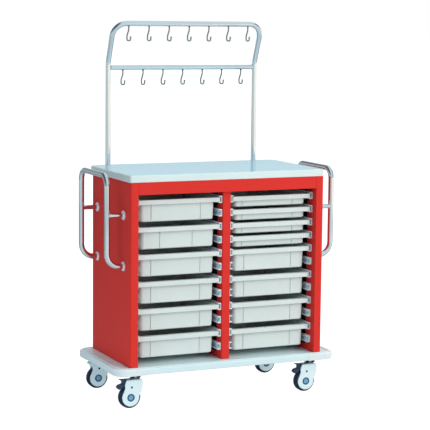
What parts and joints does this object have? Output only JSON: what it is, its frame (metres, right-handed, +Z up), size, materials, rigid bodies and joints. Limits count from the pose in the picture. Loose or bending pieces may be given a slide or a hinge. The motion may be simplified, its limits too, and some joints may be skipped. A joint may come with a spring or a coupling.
{
  "type": "instrument cart",
  "caption": "Open-fronted two-bay instrument cart with slide-out trays, side handles, a hook hanger frame and braked swivel casters.",
  "frame": {"origin": "on the floor, under the middle of the cart's bounding box", "axes": "+Z up, -Y towards the open front of the cabinet that the trays slide out of, +X to the user's right when facing that front"},
  "size_m": [1.135, 0.578, 1.7031],
  "materials": {
    "red_paint": "semi-gloss powder coat",
    "worktop_plastic": "gloss",
    "base_plastic": "fine grained moulding",
    "bumper_plastic": "fine grained moulding",
    "tray_plastic": "satin moulding",
    "runner_plastic": "satin moulding",
    "chrome": "polished",
    "caster_plastic": "satin moulding",
    "tyre_rubber": "matt",
    "pedal_plastic": "matt",
    "mount_steel": "zinc plated"
  },
  "bodies": {
    "cart": {"left_side_panel": "red_paint", "right_side_panel": "red_paint", "back_panel": "red_paint", "centre_divider": "red_paint", "front_header": "red_paint", "worktop": "worktop_plastic", "base_plate": "base_plastic", "bumper_front_left": "bumper_plastic", "bumper_front_right": "bumper_plastic", "bumper_back_left": "bumper_plastic", "bumper_back_right": "bumper_plastic", "runner_rack_left_outer": "runner_plastic", "runner_rack_left_inner": "runner_plastic", "runner_rack_right_inner": "runner_plastic", "runner_rack_right_outer": "runner_plastic", "handle_left": "chrome", "handle_right": "chrome", "hanger_frame": "chrome", "caster_mount_front_left": "mount_steel", "caster_mount_front_right": "mount_steel", "caster_mount_back_left": "mount_steel", "caster_mount_back_right": "mount_steel"},
    "tray_left_1": {"tray_left_1": "tray_plastic"},
    "tray_left_2": {"tray_left_2": "tray_plastic"},
    "tray_left_3": {"tray_left_3": "tray_plastic"},
    "tray_left_4": {"tray_left_4": "tray_plastic"},
    "tray_left_5": {"tray_left_5": "tray_plastic"},
    "tray_left_6": {"tray_left_6": "tray_plastic"},
    "tray_right_1": {"tray_right_1": "tray_plastic"},
    "tray_right_2": {"tray_right_2": "tray_plastic"},
    "tray_right_3": {"tray_right_3": "tray_plastic"},
    "tray_right_4": {"tray_right_4": "tray_plastic"},
    "tray_right_5": {"tray_right_5": "tray_plastic"},
    "tray_right_6": {"tray_right_6": "tray_plastic"},
    "tray_right_7": {"tray_right_7": "tray_plastic"},
    "tray_right_8": {"tray_right_8": "tray_plastic"},
    "hook_upper_1": {"hook_upper_1": "chrome"},
    "hook_upper_2": {"hook_upper_2": "chrome"},
    "hook_upper_3": {"hook_upper_3": "chrome"},
    "hook_upper_4": {"hook_upper_4": "chrome"},
    "hook_upper_5": {"hook_upper_5": "chrome"},
    "hook_upper_6": {"hook_upper_6": "chrome"},
    "hook_upper_7": {"hook_upper_7": "chrome"},
    "hook_lower_1": {"hook_lower_1": "chrome"},
    "hook_lower_2": {"hook_lower_2": "chrome"},
    "hook_lower_3": {"hook_lower_3": "chrome"},
    "hook_lower_4": {"hook_lower_4": "chrome"},
    "hook_lower_5": {"hook_lower_5": "chrome"},
    "hook_lower_6": {"hook_lower_6": "chrome"},
    "hook_lower_7": {"hook_lower_7": "chrome"},
    "swivel_housing_front_left": {"swivel_housing_front_left": "caster_plastic"},
    "wheel_front_left": {"wheel_front_left": "tyre_rubber"},
    "brake_pedal_front_left": {"brake_pedal_front_left": "pedal_plastic"},
    "swivel_housing_front_right": {"swivel_housing_front_right": "caster_plastic"},
    "wheel_front_right": {"wheel_front_right": "tyre_rubber"},
    "brake_pedal_front_right": {"brake_pedal_front_right": "pedal_plastic"},
    "swivel_housing_back_left": {"swivel_housing_back_left": "caster_plastic"},
    "wheel_back_left": {"wheel_back_left": "tyre_rubber"},
    "swivel_housing_back_right": {"swivel_housing_back_right": "caster_plastic"},
    "wheel_back_right": {"wheel_back_right": "tyre_rubber"}
  },
  "joints": [
    {"name": "tray_left_1_slide", "type": "slide", "parent": "cart", "child": "tray_left_1", "axis": [0, -1, 0], "range_m": [0, 0.33]},
    {"name": "tray_left_2_slide", "type": "slide", "parent": "cart", "child": "tray_left_2", "axis": [0, -1, 0], "range_m": [0, 0.33]},
    {"name": "tray_left_3_slide", "type": "slide", "parent": "cart", "child": "tray_left_3", "axis": [0, -1, 0], "range_m": [0, 0.33]},
    {"name": "tray_left_4_slide", "type": "slide", "parent": "cart", "child": "tray_left_4", "axis": [0, -1, 0], "range_m": [0, 0.33]},
    {"name": "tray_left_5_slide", "type": "slide", "parent": "cart", "child": "tray_left_5", "axis": [0, -1, 0], "range_m": [0, 0.33]},
    {"name": "tray_left_6_slide", "type": "slide", "parent": "cart", "child": "tray_left_6", "axis": [0, -1, 0], "range_m": [0, 0.33]},
    {"name": "tray_right_1_slide", "type": "slide", "parent": "cart", "child": "tray_right_1", "axis": [0, -1, 0], "range_m": [0, 0.33]},
    {"name": "tray_right_2_slide", "type": "slide", "parent": "cart", "child": "tray_right_2", "axis": [0, -1, 0], "range_m": [0, 0.33]},
    {"name": "tray_right_3_slide", "type": "slide", "parent": "cart", "child": "tray_right_3", "axis": [0, -1, 0], "range_m": [0, 0.33]},
    {"name": "tray_right_4_slide", "type": "slide", "parent": "cart", "child": "tray_right_4", "axis": [0, -1, 0], "range_m": [0, 0.33]},
    {"name": "tray_right_5_slide", "type": "slide", "parent": "cart", "child": "tray_right_5", "axis": [0, -1, 0], "range_m": [0, 0.33]},
    {"name": "tray_right_6_slide", "type": "slide", "parent": "cart", "child": "tray_right_6", "axis": [0, -1, 0], "range_m": [0, 0.33]},
    {"name": "tray_right_7_slide", "type": "slide", "parent": "cart", "child": "tray_right_7", "axis": [0, -1, 0], "range_m": [0, 0.33]},
    {"name": "tray_right_8_slide", "type": "slide", "parent": "cart", "child": "tray_right_8", "axis": [0, -1, 0], "range_m": [0, 0.33]},
    {"name": "swivel_front_left", "type": "hinge", "parent": "cart", "child": "swivel_housing_front_left", "pos_m": [-0.436, -0.223, 0.13], "axis": [0, 0, 1], "continuous": true},
    {"name": "wheel_front_left_spin", "type": "hinge", "parent": "swivel_housing_front_left", "child": "wheel_front_left", "pos_m": [-0.462, -0.223, 0.05], "axis": [0, 1, 0], "continuous": true},
    {"name": "brake_front_left", "type": "hinge", "parent": "swivel_housing_front_left", "child": "brake_pedal_front_left", "pos_m": [-0.477, -0.223, 0.121], "axis": [0, -1, 0], "range_deg": [0, 8]},
    {"name": "swivel_front_right", "type": "hinge", "parent": "cart", "child": "swivel_housing_front_right", "pos_m": [0.436, -0.223, 0.13], "axis": [0, 0, 1], "continuous": true},
    {"name": "wheel_front_right_spin", "type": "hinge", "parent": "swivel_housing_front_right", "child": "wheel_front_right", "pos_m": [0.41, -0.223, 0.05], "axis": [0, 1, 0], "continuous": true},
    {"name": "brake_front_right", "type": "hinge", "parent": "swivel_housing_front_right", "child": "brake_pedal_front_right", "pos_m": [0.395, -0.223, 0.121], "axis": [0, -1, 0], "range_deg": [0, 8]},
    {"name": "swivel_back_left", "type": "hinge", "parent": "cart", "child": "swivel_housing_back_left", "pos_m": [-0.436, 0.19, 0.13], "axis": [0, 0, 1], "continuous": true},
    {"name": "wheel_back_left_spin", "type": "hinge", "parent": "swivel_housing_back_left", "child": "wheel_back_left", "pos_m": [-0.462, 0.19, 0.05], "axis": [0, 1, 0], "continuous": true},
    {"name": "swivel_back_right", "type": "hinge", "parent": "cart", "child": "swivel_housing_back_right", "pos_m": [0.436, 0.19, 0.13], "axis": [0, 0, 1], "continuous": true},
    {"name": "wheel_back_right_spin", "type": "hinge", "parent": "swivel_housing_back_right", "child": "wheel_back_right", "pos_m": [0.41, 0.19, 0.05], "axis": [0, 1, 0], "continuous": true},
    {"name": "hook_upper_1_swivel", "type": "hinge", "parent": "cart", "child": "hook_upper_1", "pos_m": [-0.303, 0.20428, 1.6757], "axis": [0, 0, 1], "continuous": true},
    {"name": "hook_upper_2_swivel", "type": "hinge", "parent": "cart", "child": "hook_upper_2", "pos_m": [-0.202, 0.20428, 1.6757], "axis": [0, 0, 1], "continuous": true},
    {"name": "hook_upper_3_swivel", "type": "hinge", "parent": "cart", "child": "hook_upper_3", "pos_m": [-0.101, 0.20428, 1.6757], "axis": [0, 0, 1], "continuous": true},
    {"name": "hook_upper_4_swivel", "type": "hinge", "parent": "cart", "child": "hook_upper_4", "pos_m": [0, 0.20428, 1.6757], "axis": [0, 0, 1], "continuous": true},
    {"name": "hook_upper_5_swivel", "type": "hinge", "parent": "cart", "child": "hook_upper_5", "pos_m": [0.101, 0.20428, 1.6757], "axis": [0, 0, 1], "continuous": true},
    {"name": "hook_upper_6_swivel", "type": "hinge", "parent": "cart", "child": "hook_upper_6", "pos_m": [0.202, 0.20428, 1.6757], "axis": [0, 0, 1], "continuous": true},
    {"name": "hook_upper_7_swivel", "type": "hinge", "parent": "cart", "child": "hook_upper_7", "pos_m": [0.303, 0.20428, 1.6757], "axis": [0, 0, 1], "continuous": true},
    {"name": "hook_lower_1_swivel", "type": "hinge", "parent": "cart", "child": "hook_lower_1", "pos_m": [-0.303, 0.277, 1.4714], "axis": [0, 0, 1], "continuous": true},
    {"name": "hook_lower_2_swivel", "type": "hinge", "parent": "cart", "child": "hook_lower_2", "pos_m": [-0.202, 0.277, 1.4714], "axis": [0, 0, 1], "continuous": true},
    {"name": "hook_lower_3_swivel", "type": "hinge", "parent": "cart", "child": "hook_lower_3", "pos_m": [-0.101, 0.277, 1.4714], "axis": [0, 0, 1], "continuous": true},
    {"name": "hook_lower_4_swivel", "type": "hinge", "parent": "cart", "child": "hook_lower_4", "pos_m": [0, 0.277, 1.4714], "axis": [0, 0, 1], "continuous": true},
    {"name": "hook_lower_5_swivel", "type": "hinge", "parent": "cart", "child": "hook_lower_5", "pos_m": [0.101, 0.277, 1.4714], "axis": [0, 0, 1], "continuous": true},
    {"name": "hook_lower_6_swivel", "type": "hinge", "parent": "cart", "child": "hook_lower_6", "pos_m": [0.202, 0.277, 1.4714], "axis": [0, 0, 1], "continuous": true},
    {"name": "hook_lower_7_swivel", "type": "hinge", "parent": "cart", "child": "hook_lower_7", "pos_m": [0.303, 0.277, 1.4714], "axis": [0, 0, 1], "continuous": true}
  ]
}
